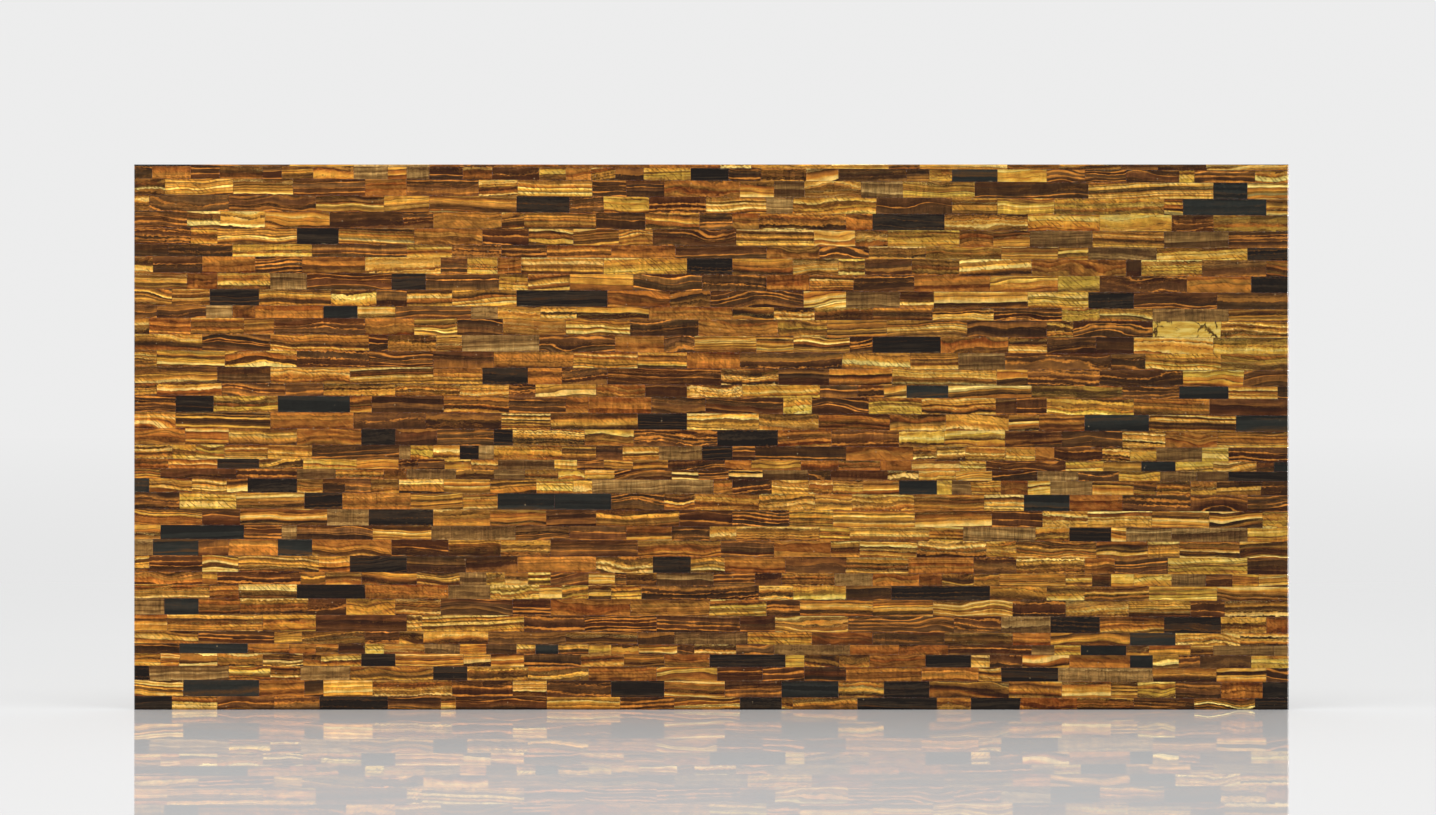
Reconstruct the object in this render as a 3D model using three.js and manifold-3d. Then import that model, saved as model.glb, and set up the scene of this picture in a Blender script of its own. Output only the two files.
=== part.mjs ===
// Polished slab of tiger's eye: sawn blocks of the banded stone are laid end to
// end in courses, and clear resin binds the blocks and the courses together.
// The slab stands upright on one long edge, as it is stored and shown.
//
// Units are millimetres, +Z is up, and the polished face looks along -Y. The
// origin is the middle of the edge that the slab stands on.

import * as THREE from 'three';
import { mergeVertices } from 'three/addons/utils/BufferGeometryUtils.js';
import Module from 'manifold-3d';

// The slab
const SLAB_LENGTH = 3050;
const SLAB_HEIGHT = 1440;
const SLAB_THICKNESS = 20;

// Edges: the sides and the top are eased on the polished face, and every other
// edge is only dulled, so that the slab keeps a broad foot
const EASED_EDGE = 4;
const DULLED_EDGE = 0.8;

// Courses, counted from the foot up. The stone was sawn at four heights, and a
// letter for each course says which one it has
const SAWN_HEIGHT = { tall: 43, middle: 37, short: 33, low: 26 };
const COURSE_LETTERS = { T: 'tall', M: 'middle', S: 'short', L: 'low' };
const COURSE_ORDER = 'STMSLSTTMSTTMTTMLLMTTTSTTTTSTTTSTTTTS';

// The slab was trimmed a little out of line with its beds, so each bed runs
// down to the right, more so near the top
const BED_FALL_AT_FOOT = 6;
const BED_FALL_AT_TOP = 13;

// Clear width of the resin joint between two courses
const BED_JOINT = 0.6;

// How far a cutting shape stands out past the slab on each side
const OVERHANG = 10;

const wasm = await Module();
wasm.setup();

// A closed three.js geometry as a solid that can be cut
function toSolid(geometry) {
  const bare = geometry.clone();
  bare.deleteAttribute('normal');
  bare.deleteAttribute('uv');
  const merged = mergeVertices(bare, 1e-4);
  return new wasm.Manifold(new wasm.Mesh({
    numProp: 3,
    vertProperties: new Float32Array(merged.attributes.position.array),
    triVerts: new Uint32Array(merged.index.array),
  }));
}

// A solid as a flat-shaded three.js geometry
function toGeometry(solid) {
  const cut = solid.getMesh();
  const indexed = new THREE.BufferGeometry();
  indexed.setAttribute('position', new THREE.BufferAttribute(cut.vertProperties, 3));
  indexed.setIndex(new THREE.BufferAttribute(cut.triVerts, 1));
  const faceted = indexed.toNonIndexed();
  faceted.computeVertexNormals();
  return faceted;
}

// A straight prism from the corners of its section
function prism(corners, depth) {
  const section = new THREE.Shape(corners.map(([a, b]) => new THREE.Vector2(a, b)));
  return new THREE.ExtrudeGeometry(section, { depth, bevelEnabled: false });
}

// A rectangle's corners, anticlockwise, each cut off by its own width
function easedRectangle(left, right, low, high, cuts) {
  return [
    [left + cuts.lowLeft, low],
    [right - cuts.lowRight, low],
    [right, low + cuts.lowRight],
    [right, high - cuts.highRight],
    [right - cuts.highRight, high],
    [left + cuts.highLeft, high],
    [left, high - cuts.highLeft],
    [left, low + cuts.lowLeft],
  ];
}

// The whole slab: its upright section run along the length, kept only where
// its plan, run up the height, has it too
function slabBlank() {
  const half = SLAB_THICKNESS / 2;
  const side = SLAB_LENGTH / 2;
  const uprightSection = easedRectangle(-half, half, 0, SLAB_HEIGHT, {
    lowLeft: DULLED_EDGE,
    lowRight: DULLED_EDGE,
    highRight: DULLED_EDGE,
    highLeft: EASED_EDGE,
  });
  const plan = easedRectangle(-side, side, -half, half, {
    lowLeft: EASED_EDGE,
    lowRight: EASED_EDGE,
    highRight: DULLED_EDGE,
    highLeft: DULLED_EDGE,
  });
  const along = prism(uprightSection, SLAB_LENGTH + 2 * OVERHANG);
  along.rotateX(Math.PI / 2);
  along.rotateZ(Math.PI / 2);
  along.translate(-side - OVERHANG, 0, 0);
  const up = prism(plan, SLAB_HEIGHT + 2 * OVERHANG);
  up.translate(0, 0, -OVERHANG);
  return toSolid(along).intersect(toSolid(up));
}

// Heights of the beds at mid length, from the foot to the last full bed
function bedLevels() {
  const levels = [0];
  for (const letter of COURSE_ORDER) {
    const height = SAWN_HEIGHT[COURSE_LETTERS[letter]];
    levels.push(levels[levels.length - 1] + height);
  }
  return levels;
}

// Height of a bed at a distance to the right of mid length
function bedHeight(level, x) {
  const share = level / SLAB_HEIGHT;
  const fall = BED_FALL_AT_FOOT + (BED_FALL_AT_TOP - BED_FALL_AT_FOOT) * share;
  return level - fall * x / SLAB_LENGTH;
}

// One course: what the slab has between two beds. The lowest course ends at the
// foot and the highest at the top edge, where the slab was trimmed
function course(blank, lowLevel, highLevel) {
  const x = SLAB_LENGTH / 2 + OVERHANG;
  const isLowest = lowLevel === null;
  const isHighest = highLevel === null;
  const low = (at) => (isLowest ? -OVERHANG : bedHeight(lowLevel, at) + BED_JOINT / 2);
  const high = (at) => (
    isHighest ? SLAB_HEIGHT + OVERHANG : bedHeight(highLevel, at) - BED_JOINT / 2
  );
  const outline = [[-x, low(-x)], [x, low(x)], [x, high(x)], [-x, high(-x)]];
  const bar = prism(outline, SLAB_THICKNESS + 2 * OVERHANG);
  bar.rotateX(Math.PI / 2);
  bar.translate(0, SLAB_THICKNESS / 2 + OVERHANG, 0);
  return toGeometry(blank.intersect(toSolid(bar)));
}

// Polished stone, in the brown and gold that the blocks of a course average to
const STONE_BROWN = new THREE.Color(0x6e4418);
const STONE_GOLD = new THREE.Color(0xa06f28);
const STONE_ROUGHNESS = 0.12;

function stone(share) {
  return new THREE.MeshStandardMaterial({
    color: STONE_BROWN.clone().lerp(STONE_GOLD, share),
    roughness: STONE_ROUGHNESS,
    metalness: 0,
  });
}

const group = new THREE.Group();
const blank = slabBlank();
const levels = bedLevels();
const courseCount = levels.length;

for (let index = 0; index < courseCount; index += 1) {
  const lowLevel = index === 0 ? null : levels[index];
  const highLevel = index === courseCount - 1 ? null : levels[index + 1];
  const mesh = new THREE.Mesh(
    course(blank, lowLevel, highLevel),
    stone(index / (courseCount - 1)),
  );
  mesh.name = `course_${String(index + 1).padStart(2, '0')}`;
  group.add(mesh);
}

export default group;
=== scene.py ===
# %% [markdown]
# # A polished slab of tiger's eye
#
# The real slab is put together from nearly nine hundred sawn blocks of tiger's eye. They lie end to end
# in level courses, clear resin binds them, and the whole face is ground and polished as one. This
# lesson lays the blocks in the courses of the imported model, runs resin into the joints, and gives each
# kind of stone its own procedural material.

# %% Load the frame
import math
import random

import bmesh
import bpy
import numpy as np
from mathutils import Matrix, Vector


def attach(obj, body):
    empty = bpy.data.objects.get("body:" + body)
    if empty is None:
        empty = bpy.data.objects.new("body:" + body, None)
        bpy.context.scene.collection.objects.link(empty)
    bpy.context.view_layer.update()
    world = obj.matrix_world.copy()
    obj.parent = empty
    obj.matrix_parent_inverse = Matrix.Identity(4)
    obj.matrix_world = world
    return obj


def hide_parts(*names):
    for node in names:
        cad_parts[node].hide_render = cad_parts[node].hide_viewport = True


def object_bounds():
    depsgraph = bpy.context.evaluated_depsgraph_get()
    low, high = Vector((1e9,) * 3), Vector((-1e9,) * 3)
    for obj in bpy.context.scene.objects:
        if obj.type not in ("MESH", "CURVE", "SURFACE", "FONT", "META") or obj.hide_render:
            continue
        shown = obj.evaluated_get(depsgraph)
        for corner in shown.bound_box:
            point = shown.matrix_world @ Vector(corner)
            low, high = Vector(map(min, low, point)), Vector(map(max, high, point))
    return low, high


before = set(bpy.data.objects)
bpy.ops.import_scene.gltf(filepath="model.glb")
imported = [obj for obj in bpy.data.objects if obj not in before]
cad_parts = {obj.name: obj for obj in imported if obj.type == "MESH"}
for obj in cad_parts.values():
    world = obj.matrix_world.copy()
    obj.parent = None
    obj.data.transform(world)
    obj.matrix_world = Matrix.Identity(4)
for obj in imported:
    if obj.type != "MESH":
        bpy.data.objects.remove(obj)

MM = 0.001
cad_low, cad_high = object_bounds()
courses = sorted(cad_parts)
print("the frame holds", len(courses), "courses in a box of", [round(v, 4) for v in cad_high - cad_low])

# %% [markdown]
# ## The camera
#
# The slab is seen square on, from a little under nine metres, by a long lens. A long lens far away
# keeps the courses parallel. The camera stands level, so the slab's upright edges stay upright without
# any shift. Its distance follows from the stretch of wall that the picture's width takes in.

# %% Set up the camera
VIEW_WIDTH = 3792 * MM
CAMERA_ASIDE = 17 * MM
CAMERA_HEIGHT = 798 * MM
LENS = 85.0
SENSOR = 36.0

camera = bpy.data.objects.new("camera", bpy.data.cameras.new("camera"))
camera.data.lens = LENS
camera.data.sensor_width = SENSOR
camera_distance = VIEW_WIDTH * LENS / SENSOR
camera.location = (CAMERA_ASIDE, cad_low.y - camera_distance, CAMERA_HEIGHT)
camera.rotation_euler = (math.radians(90), 0, 0)
bpy.context.scene.collection.objects.link(camera)
bpy.context.scene.camera = camera
print("the camera stands", round(camera_distance, 3), "m from the face")

# %% [markdown]
# ## Reading the beds
#
# A bed is the joint that a course lies on. The slab was trimmed slightly out of line with its beds, so
# every bed runs down a little to the right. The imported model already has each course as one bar, so the
# heights are read from the bars' corners at both ends and never typed twice.

# %% Read each course's beds at both ends
END_REACH = 0.5 * MM


def beds_of(node):
    """Heights of a course's lower and upper bed at the slab's left end, then at its right end."""
    corners = np.array([vertex.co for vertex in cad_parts[node].data.vertices])
    left = corners[corners[:, 0] < cad_low.x + END_REACH, 2]
    right = corners[corners[:, 0] > cad_high.x - END_REACH, 2]
    return [float(v) for v in (left.min(), left.max(), right.min(), right.max())]


beds = {node: beds_of(node) for node in courses}
for node in (courses[0], courses[-1]):
    print(node, "has its beds at", [round(v, 4) for v in beds[node]])

# %% [markdown]
# ## Sorting the stone
#
# The blocks fall into kinds by what the polish brings out. Gold blocks are the common ones, with bright
# and brown layers. Umber is mostly dark, with a thin gold line or two. Rust is the red kind, olive the
# pale satin kind, and straw the brightest. Cracked blocks are straw too, with wide dark cracks. Iron
# blocks are nearly black, and hawk blocks are the blue-black stone that never turned gold. A share is
# how many blocks in a hundred are of a kind, where a block is drawn at random.

# %% Name the kinds and how common they are
KINDS = ["gold", "umber", "rust", "olive", "straw", "cracked", "iron", "hawk"]
SHARES = {"gold": 66, "umber": 19, "rust": 8, "olive": 5, "straw": 2, "cracked": 0, "iron": 0, "hawk": 0}
print("kinds of stone:", ", ".join(KINDS))

# %% [markdown]
# ## The blocks that catch the eye
#
# From a few steps away the eye lands on the black blocks and the brightest ones, and then on those that
# stand next to them. About half of the blocks were therefore placed one by one, course by course from the
# top down, as the stone's kind and the stretch that it fills, in millimetres from the slab's left end.
# All the blocks between them are drawn at random.

# %% Place the blocks that stand out
PLACED = {
    38: "hawk 0-150, umber 150-410, olive 580-780",
    37: "umber 340-390, olive 580-670, olive 720-780, straw 1070-1140, iron 1470-1570, umber 1860-2040, "
        "umber 2040-2100, hawk 2160-2280, straw 2280-2410, umber 2620-2760, straw 2760-2800, "
        "umber 2800-2960, straw 2960-3050",
    36: "umber 420-610, rust 610-720, umber 720-910, umber 1210-1300, umber 1300-1400, rust 1400-1600, "
        "olive 1690-1770, olive 1920-2030, straw 2030-2220, umber 2220-2520, gold 2520-2850, "
        "hawk 2850-2940",
    35: "umber 40-250, umber 250-480, gold 480-660, gold 780-1010, iron 1010-1150, straw 1240-1360, "
        "umber 1360-1510, olive 1670-1740, straw 1740-1960, umber 1960-2160, straw 2280-2430, "
        "straw 2430-2720, hawk 2770-2990",
    34: "umber 0-140, umber 710-790, gold 1030-1220, umber 1220-1350, rust 1580-1650, gold 1650-1880, "
        "iron 1950-2140, gold 2140-2360, straw 2360-2550, straw 2550-2740, umber 2740-2850, "
        "straw 2850-3030",
    33: "umber 0-150, straw 150-220, iron 430-540, rust 740-920, gold 1160-1280, umber 1370-1590, "
        "straw 1990-2180, olive 2720-2890, umber 2890-3050",
    32: "umber 0-90, straw 260-470, umber 470-720, straw 720-840, umber 840-970, rust 1090-1260, "
        "umber 1430-1670, rust 1670-1810, umber 1810-1940, straw 2090-2290, straw 2440-2520, "
        "straw 2700-2940, iron 2940-3050",
    31: "umber 50-180, rust 180-320, gold 610-810, umber 810-880, straw 880-960, straw 1240-1460, "
        "iron 1460-1580, gold 1580-1740, straw 1860-1930, rust 2370-2620, umber 2620-2660, "
        "straw 2660-2820, umber 2820-2990",
    30: "rust 140-220, straw 220-360, iron 680-770, umber 1500-1670, umber 1900-2060, straw 2440-2550, "
        "umber 2550-2780, iron 2950-3050",
    29: "gold 0-100, iron 200-330, gold 330-520, straw 520-640, umber 640-720, gold 840-1010, "
        "iron 1010-1250, straw 2360-2520, iron 2520-2640, umber 2860-3030",
    28: "umber 60-190, olive 190-260, rust 260-320, hawk 500-590, gold 590-690, umber 690-890, "
        "olive 890-960, rust 1360-1580, umber 2270-2450, straw 2450-2550, olive 2690-2890",
    27: "rust 40-150, gold 150-290, umber 370-610, rust 610-740, straw 1140-1310, umber 1310-1490, "
        "rust 1490-1700, straw 1700-1830, umber 2200-2410, umber 2480-2690, cracked 2690-2870",
    26: "umber 180-360, gold 360-620, umber 620-670, umber 1070-1270, umber 1400-1480, umber 1890-1950, "
        "iron 1950-2130, umber 2540-2640, straw 2850-3050",
    25: "straw 60-240, umber 430-620, umber 620-790, gold 1160-1330, rust 1460-1600, umber 1600-1870, "
        "umber 2300-2580, umber 2580-2670, straw 2670-2870, straw 2870-3050",
    24: "umber 220-360, gold 360-570, iron 920-1040, umber 1130-1250, umber 1250-1550, umber 2360-2550, "
        "umber 2550-2770, straw 2770-2930, umber 2930-3050",
    23: "gold 0-60, umber 400-500, gold 690-860, umber 990-1060, rust 1220-1350, umber 1350-1460, "
        "umber 1910-1980, hawk 2040-2150, straw 2370-2610, umber 2610-2760, hawk 2760-2890, "
        "gold 2890-3020",
    22: "umber 0-110, iron 110-210, straw 210-380, hawk 380-570, umber 990-1140, rust 1140-1200, "
        "umber 1790-1940, straw 1940-2080, umber 2330-2410, straw 2410-2640, gold 2640-2840, "
        "umber 2840-3050",
    21: "gold 110-360, rust 360-580, umber 770-970, iron 1330-1460, gold 1460-1650, rust 2390-2510, "
        "hawk 2510-2680, gold 2680-2910, hawk 2910-3050",
    20: "gold 250-430, rust 430-600, iron 600-690, umber 690-800, iron 950-1000, straw 1190-1320, "
        "umber 1320-1540, iron 1540-1700, straw 2020-2140, straw 2140-2300, umber 2300-2450, "
        "umber 2450-2610, gold 2860-3050",
    19: "umber 470-700, olive 700-730, straw 730-790, iron 860-910, olive 910-950, straw 950-1130, "
        "umber 1220-1290, iron 1500-1580, umber 1640-1880, rust 2380-2430, straw 2630-2700, "
        "olive 2700-2820, straw 2820-2890, umber 2890-3050",
    18: "gold 90-220, iron 220-330, umber 750-820, straw 820-890, straw 1110-1170, umber 1170-1240, "
        "umber 1410-1560, rust 1560-1630, gold 1860-1970, straw 2180-2250, umber 2250-2460, "
        "straw 2460-2560, hawk 2660-2750, straw 2750-2850, hawk 3010-3050",
    17: "umber 70-270, umber 270-430, rust 660-720, olive 720-850, straw 1120-1190, gold 1420-1490, "
        "gold 1570-1660, olive 1660-1780, umber 1840-1990, straw 2600-2710, iron 2890-3050",
    16: "hawk 0-40, iron 300-430, gold 1160-1210, olive 1210-1530, rust 1530-1580, hawk 2020-2120, "
        "straw 2120-2160, olive 2160-2210, straw 2360-2420, gold 2700-2790",
    15: "straw 120-270, iron 450-550, rust 550-730, hawk 960-1110, hawk 1110-1260, umber 1260-1400, "
        "gold 1480-1650, hawk 2350-2470, umber 2610-2790, umber 2940-3050",
    14: "gold 0-180, umber 180-280, gold 280-510, iron 620-790, gold 790-940, gold 1220-1440, "
        "umber 1580-1730, straw 2980-3050",
    13: "hawk 70-290, olive 390-430, umber 430-630, umber 1150-1300, gold 1300-1420, umber 1420-1520, "
        "straw 1810-1890, straw 2100-2190, olive 2190-2380, straw 2380-2470, iron 2470-2580, "
        "olive 2620-2740, straw 2940-3050",
    12: "hawk 50-170, rust 250-380, hawk 380-470, rust 470-680, umber 680-830, umber 1100-1330, "
        "umber 1550-1690, rust 1690-1840, straw 2250-2330",
    11: "umber 40-180, iron 570-720, gold 1220-1370, iron 1370-1470, rust 1560-1720, umber 1720-1880, "
        "rust 2510-2590, umber 2590-2730, straw 2730-2940",
    10: "rust 0-180, umber 220-440, olive 860-930, straw 930-980, straw 1040-1100, umber 1270-1300, "
        "olive 1380-1530, umber 1640-1710, olive 1850-1950, straw 2460-2530, straw 2580-2640, "
        "straw 2640-2740, olive 2740-2830, straw 2900-2970",
    9: "iron 430-610, olive 830-940, straw 940-1070, straw 1130-1200, straw 1260-1340, umber 1340-1650, "
       "straw 1740-1880, umber 1880-2000, iron 2000-2260, straw 2410-2510, straw 2680-2860",
    8: "hawk 80-170, gold 280-460, umber 460-560, straw 560-690, umber 810-1000, umber 1000-1100, "
       "rust 1100-1310, rust 1310-1520, straw 1520-1670, gold 2110-2320, umber 2320-2460, umber 2790-2880",
    7: "straw 340-480, umber 480-720, straw 760-1030, umber 1030-1190, umber 1380-1600, iron 2420-2550, "
       "iron 2720-2870, rust 2990-3050",
    6: "umber 170-370, umber 610-700, gold 1140-1330, straw 1620-1790, rust 1790-1950, umber 1950-2140, "
       "rust 2320-2420, hawk 2630-2750",
    5: "hawk 120-300, rust 410-480, umber 540-610, straw 610-660, straw 860-930, umber 930-1010, "
       "straw 1010-1060, hawk 1060-1120, straw 1200-1260, umber 1590-1690, olive 1690-1890, "
       "gold 2020-2150, umber 2150-2370, straw 2430-2500, hawk 2500-2620, gold 2680-2790, olive 2850-3010",
    4: "straw 0-70, gold 220-340, iron 600-690, gold 690-870, umber 1030-1180, rust 1400-1520, "
       "iron 1520-1720, straw 1720-1770, iron 2090-2210, rust 2470-2630, hawk 2630-2690, straw 2950-3040",
    3: "iron 0-40, olive 40-250, straw 250-360, olive 440-570, iron 790-880, gold 1040-1200, "
       "umber 1540-1660, umber 1770-1880, rust 2080-2230, iron 2290-2440, olive 2440-2690, umber 2990-3050",
    2: "hawk 130-330, rust 330-450, gold 500-630, umber 840-1000, umber 1090-1260, iron 1260-1400, "
       "gold 1400-1560, umber 1560-1710, hawk 1710-1860, iron 1980-2100, gold 2310-2450, gold 2450-2580, "
       "straw 2650-2750, umber 2750-2870, rust 2870-2980, iron 2980-3050",
    1: "iron 0-100, umber 220-370, iron 490-670, umber 670-810, umber 850-1090, iron 1600-1710, "
       "gold 1740-1910, iron 1910-2120, iron 2210-2340, rust 2340-2490, gold 2490-2640, iron 2960-3050",
}


def placed_blocks(number):
    """The listed blocks of a course, as kind, start and end in metres from the left end."""
    blocks = []
    for entry in filter(None, PLACED.get(number, "").split(", ")):
        kind, stretch = entry.split()
        start, end = stretch.split("-")
        blocks.append((kind, float(start) * MM, float(end) * MM))
    return blocks


print("placed by hand:", sum(len(placed_blocks(n)) for n in PLACED), "blocks")

# %% [markdown]
# ## Drawing the blocks between
#
# A gap between two placed blocks is shared out among as many blocks as suit the course's usual length.
# A few courses, most of them in the lower half, are made of shorter blocks, so they have a shorter usual
# length. One seeded generator makes every draw, so the slab comes out the same each time.

# %% Share out the gaps between placed blocks
SLAB_LENGTH = cad_high.x - cad_low.x
USUAL_LENGTH = 152 * MM
SHORT_LENGTH = 94 * MM
SHORT_COURSES = {4, 5, 10, 16, 17, 18, 19, 37}
SHORTEST = 24 * MM
UNEVEN = 0.58
draw = random.Random(37)


def share_out(start, end, usual):
    """Cut the stretch from start to end into blocks of uneven length."""
    count = max(1, round((end - start) / usual))
    parts = [draw.uniform(1 - UNEVEN, 1 + UNEVEN) for _ in range(count)]
    scale = (end - start) / sum(parts)
    cuts = [start]
    for part in parts:
        cuts.append(cuts[-1] + part * scale)
    return list(zip(cuts[:-1], cuts[1:]))


def lay_out(number):
    """All blocks of a course from left to right, as kind, start and end."""
    usual = SHORT_LENGTH if number in SHORT_COURSES else USUAL_LENGTH
    blocks = []
    reached = 0.0
    for kind, start, end in placed_blocks(number) + [(None, SLAB_LENGTH, SLAB_LENGTH)]:
        if 0 < start - reached < SHORTEST:
            start = reached
        for low, high in share_out(reached, start, usual) if start > reached else []:
            drawn = draw.choices(KINDS, [SHARES[k] for k in KINDS])[0]
            blocks.append((drawn, low, high))
        if kind:
            blocks.append((kind, start, end))
        reached = max(reached, end)
    last_kind, last_start, _ = blocks[-1]
    blocks[-1] = (last_kind, last_start, SLAB_LENGTH)
    return blocks


layout = {node: lay_out(index + 1) for index, node in enumerate(courses)}
print("blocks in all:", sum(len(blocks) for blocks in layout.values()))

# %% [markdown]
# ## A helper for wiring nodes
#
# Both geometry and materials are node trees here. The helper keeps the wiring short: it adds a node,
# and each value goes into the named socket, as a link when it comes from another node and as a plain
# number otherwise.

# %% Write the wiring helper


class Wiring:
    """Adds nodes to one tree and connects them."""

    def __init__(self, tree):
        self.tree = tree

    def put(self, socket, value):
        if isinstance(value, bpy.types.NodeSocket):
            self.tree.links.new(value, socket)
        else:
            socket.default_value = value

    def add(self, kind, settings=None, sockets=None):
        node = self.tree.nodes.new(kind)
        for name, value in (settings or {}).items():
            setattr(node, name, value)
        for name, value in (sockets or {}).items():
            self.put(node.inputs[name], value)
        return node

    def compute(self, kind, operation, values):
        node = self.add(kind, {"operation": operation})
        for socket, value in zip(node.inputs, values):
            self.put(socket, value)
        return node.outputs[0]

    def number(self, operation, *values):
        return self.compute("ShaderNodeMath", operation, values)

    def times(self, first, second):
        return self.number("MULTIPLY", first, second)

    def minus(self, first, second):
        return self.number("SUBTRACT", first, second)

    def vector(self, operation, *values):
        return self.compute("ShaderNodeVectorMath", operation, values)

    def scaled(self, vector, factor):
        """A vector, or a colour, times one number."""
        node = self.vector("SCALE", vector).node
        self.put(node.inputs["Scale"], factor)
        return node.outputs[0]

    def axes(self, vector):
        return self.add("ShaderNodeSeparateXYZ", sockets={"Vector": vector}).outputs

    def channels(self, colour):
        return self.add("ShaderNodeSeparateColor", sockets={"Color": colour}).outputs

    def noise(self, vector, scale=1.0, detail=2.0, roughness=0.5):
        """Soft noise from 0 to 1 that changes over the vector's space."""
        return self.add("ShaderNodeTexNoise", sockets={
            "Vector": vector, "Scale": scale, "Detail": detail, "Roughness": roughness}).outputs["Fac"]

    def group(self, tree, sockets=None):
        """The outputs of a node group."""
        return self.add("ShaderNodeGroup", {"node_tree": tree}, sockets).outputs

    def fade(self, value, low, high, to_low=0.0, to_high=1.0):
        """Value run smoothly from to_low, where it is at low, to to_high, where it is at high."""
        node = self.add("ShaderNodeMapRange", {"interpolation_type": "SMOOTHSTEP"})
        for name, item in zip(("Value", "From Min", "From Max", "To Min", "To Max"),
                              (value, low, high, to_low, to_high)):
            self.put(node.inputs[name], item)
        return node.outputs["Result"]

    def blend(self, factor, colour, other):
        """Colour where the factor is 0 and the other one where it is 1."""
        node = self.add("ShaderNodeMix", {"data_type": "RGBA"})
        self.put(node.inputs[0], factor)
        sockets = [socket for socket in node.inputs if socket.type == "RGBA"]
        self.put(sockets[0], colour)
        self.put(sockets[1], other)
        return [socket for socket in node.outputs if socket.type == "RGBA"][0]

    def ramp(self, factor, stops):
        """A colour ramp through stops, which are pairs of a place and a colour."""
        node = self.add("ShaderNodeValToRGB")
        self.put(node.inputs["Fac"], factor)
        elements = node.color_ramp.elements
        while len(elements) < len(stops):
            elements.new(1.0)
        for element, (position, colour) in zip(elements, stops):
            element.position = position
            element.color = colour
        return node.outputs["Color"]


print("wiring helper ready")

# %% [markdown]
# ## Laying a course with Geometry Nodes
#
# Every course repeats one thing: a sawn block, as long as its point says, between two beds. The tree
# puts a unit block on each point and makes the copies real. Then it moves each corner to the height of
# the bed below or above it, so the blocks follow the beds' slope, and leans the ends as the saw left
# them. It writes how high each corner stands between the beds, for the materials to read, and ends by
# giving each block the material of its kind. Each piece gets its own values for the beds.

# %% Build the tree that lays a course
TREE_SIZES = ["Depth", "Half length", "Left low bed", "Left high bed", "Right low bed", "Right high bed"]


def laying_tree(name, materials):
    """A tree that turns points into blocks, and gives kind number k the material at place k."""
    tree = bpy.data.node_groups.new(name, "GeometryNodeTree")
    tree.interface.new_socket("Geometry", in_out="INPUT", socket_type="NodeSocketGeometry")
    for size in TREE_SIZES:
        tree.interface.new_socket(size, in_out="INPUT", socket_type="NodeSocketFloat")
    tree.interface.new_socket("Geometry", in_out="OUTPUT", socket_type="NodeSocketGeometry")
    wiring = Wiring(tree)
    given = wiring.add("NodeGroupInput").outputs
    result = wiring.add("NodeGroupOutput")

    def stored(attribute, data_type="FLOAT"):
        node = wiring.add("GeometryNodeInputNamedAttribute", {"data_type": data_type})
        node.inputs["Name"].default_value = attribute
        return node.outputs["Attribute"]

    cube = wiring.add("GeometryNodeMeshCube", sockets={"Size": (1, 1, 1)})
    block = wiring.add("GeometryNodeTransform", sockets={"Geometry": cube.outputs["Mesh"]})
    block.inputs["Translation"].default_value = (0.5, 0, 0.5)
    size = wiring.add("ShaderNodeCombineXYZ")
    wiring.put(size.inputs["X"], stored("length"))
    wiring.put(size.inputs["Y"], given["Depth"])
    size.inputs["Z"].default_value = 1
    copies = wiring.add("GeometryNodeInstanceOnPoints", sockets={"Points": given["Geometry"]})
    wiring.put(copies.inputs["Instance"], block.outputs["Geometry"])
    wiring.put(copies.inputs["Scale"], size.outputs["Vector"])
    real = wiring.add("GeometryNodeRealizeInstances")
    wiring.put(real.inputs["Geometry"], copies.outputs["Instances"])

    along, across, bed = wiring.axes(wiring.add("GeometryNodeInputPosition").outputs["Position"])
    half = given["Half length"]
    share = wiring.number("DIVIDE", wiring.number("ADD", along, half), wiring.times(half, 2.0))

    def between(low, high, factor):
        return wiring.number("MULTIPLY_ADD", wiring.minus(high, low), factor, low)

    low_bed = between(given["Left low bed"], given["Right low bed"], share)
    high_bed = between(given["Left high bed"], given["Right high bed"], share)
    within = wiring.number("DIVIDE", wiring.minus(along, stored("start")), stored("length"))
    lean = between(stored("start lean"), stored("end lean"), within)
    moved = wiring.add("ShaderNodeCombineXYZ")
    leaned = wiring.times(lean, wiring.minus(bed, 0.5))
    wiring.put(moved.inputs["X"], wiring.number("ADD", along, leaned))
    wiring.put(moved.inputs["Y"], across)
    wiring.put(moved.inputs["Z"], between(low_bed, high_bed, bed))
    marked = wiring.add("GeometryNodeStoreNamedAttribute", {"data_type": "FLOAT", "domain": "POINT"})
    wiring.put(marked.inputs["Geometry"], real.outputs["Geometry"])
    marked.inputs["Name"].default_value = "bed"
    wiring.put(marked.inputs["Value"], bed)
    warped = wiring.add("GeometryNodeSetPosition")
    wiring.put(warped.inputs["Geometry"], marked.outputs["Geometry"])
    wiring.put(warped.inputs["Position"], moved.outputs["Vector"])

    latest = warped.outputs["Geometry"]
    for number, material in enumerate(materials):
        same = wiring.add("FunctionNodeCompare", {"data_type": "INT", "operation": "EQUAL"})
        integers = [socket for socket in same.inputs if socket.type == "INT"]
        wiring.put(integers[0], stored("kind", "INT"))
        integers[1].default_value = number
        dressed = wiring.add("GeometryNodeSetMaterial")
        wiring.put(dressed.inputs["Geometry"], latest)
        wiring.put(dressed.inputs["Selection"], same.outputs["Result"])
        dressed.inputs["Material"].default_value = material
        latest = dressed.outputs["Geometry"]
    wiring.put(result.inputs["Geometry"], latest)
    return tree


print("a laying tree takes", ", ".join(TREE_SIZES))

# %% [markdown]
# ## Where a block's pattern sits
#
# All materials share small effects, each in a node group of its own. The first one gives every block
# its own cut through the stone. It moves the Object coordinates, in millimetres, by the block's stored
# seed, and tips it a little, so neighbours never show the same layers, while the pattern still runs
# through the block's depth, and its ends and its back show the same layers as its face. It also hands
# on the block's random tone, how wild and how coarse its layers are, the height between the beds and
# how far along the slab the spot lies.

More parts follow.
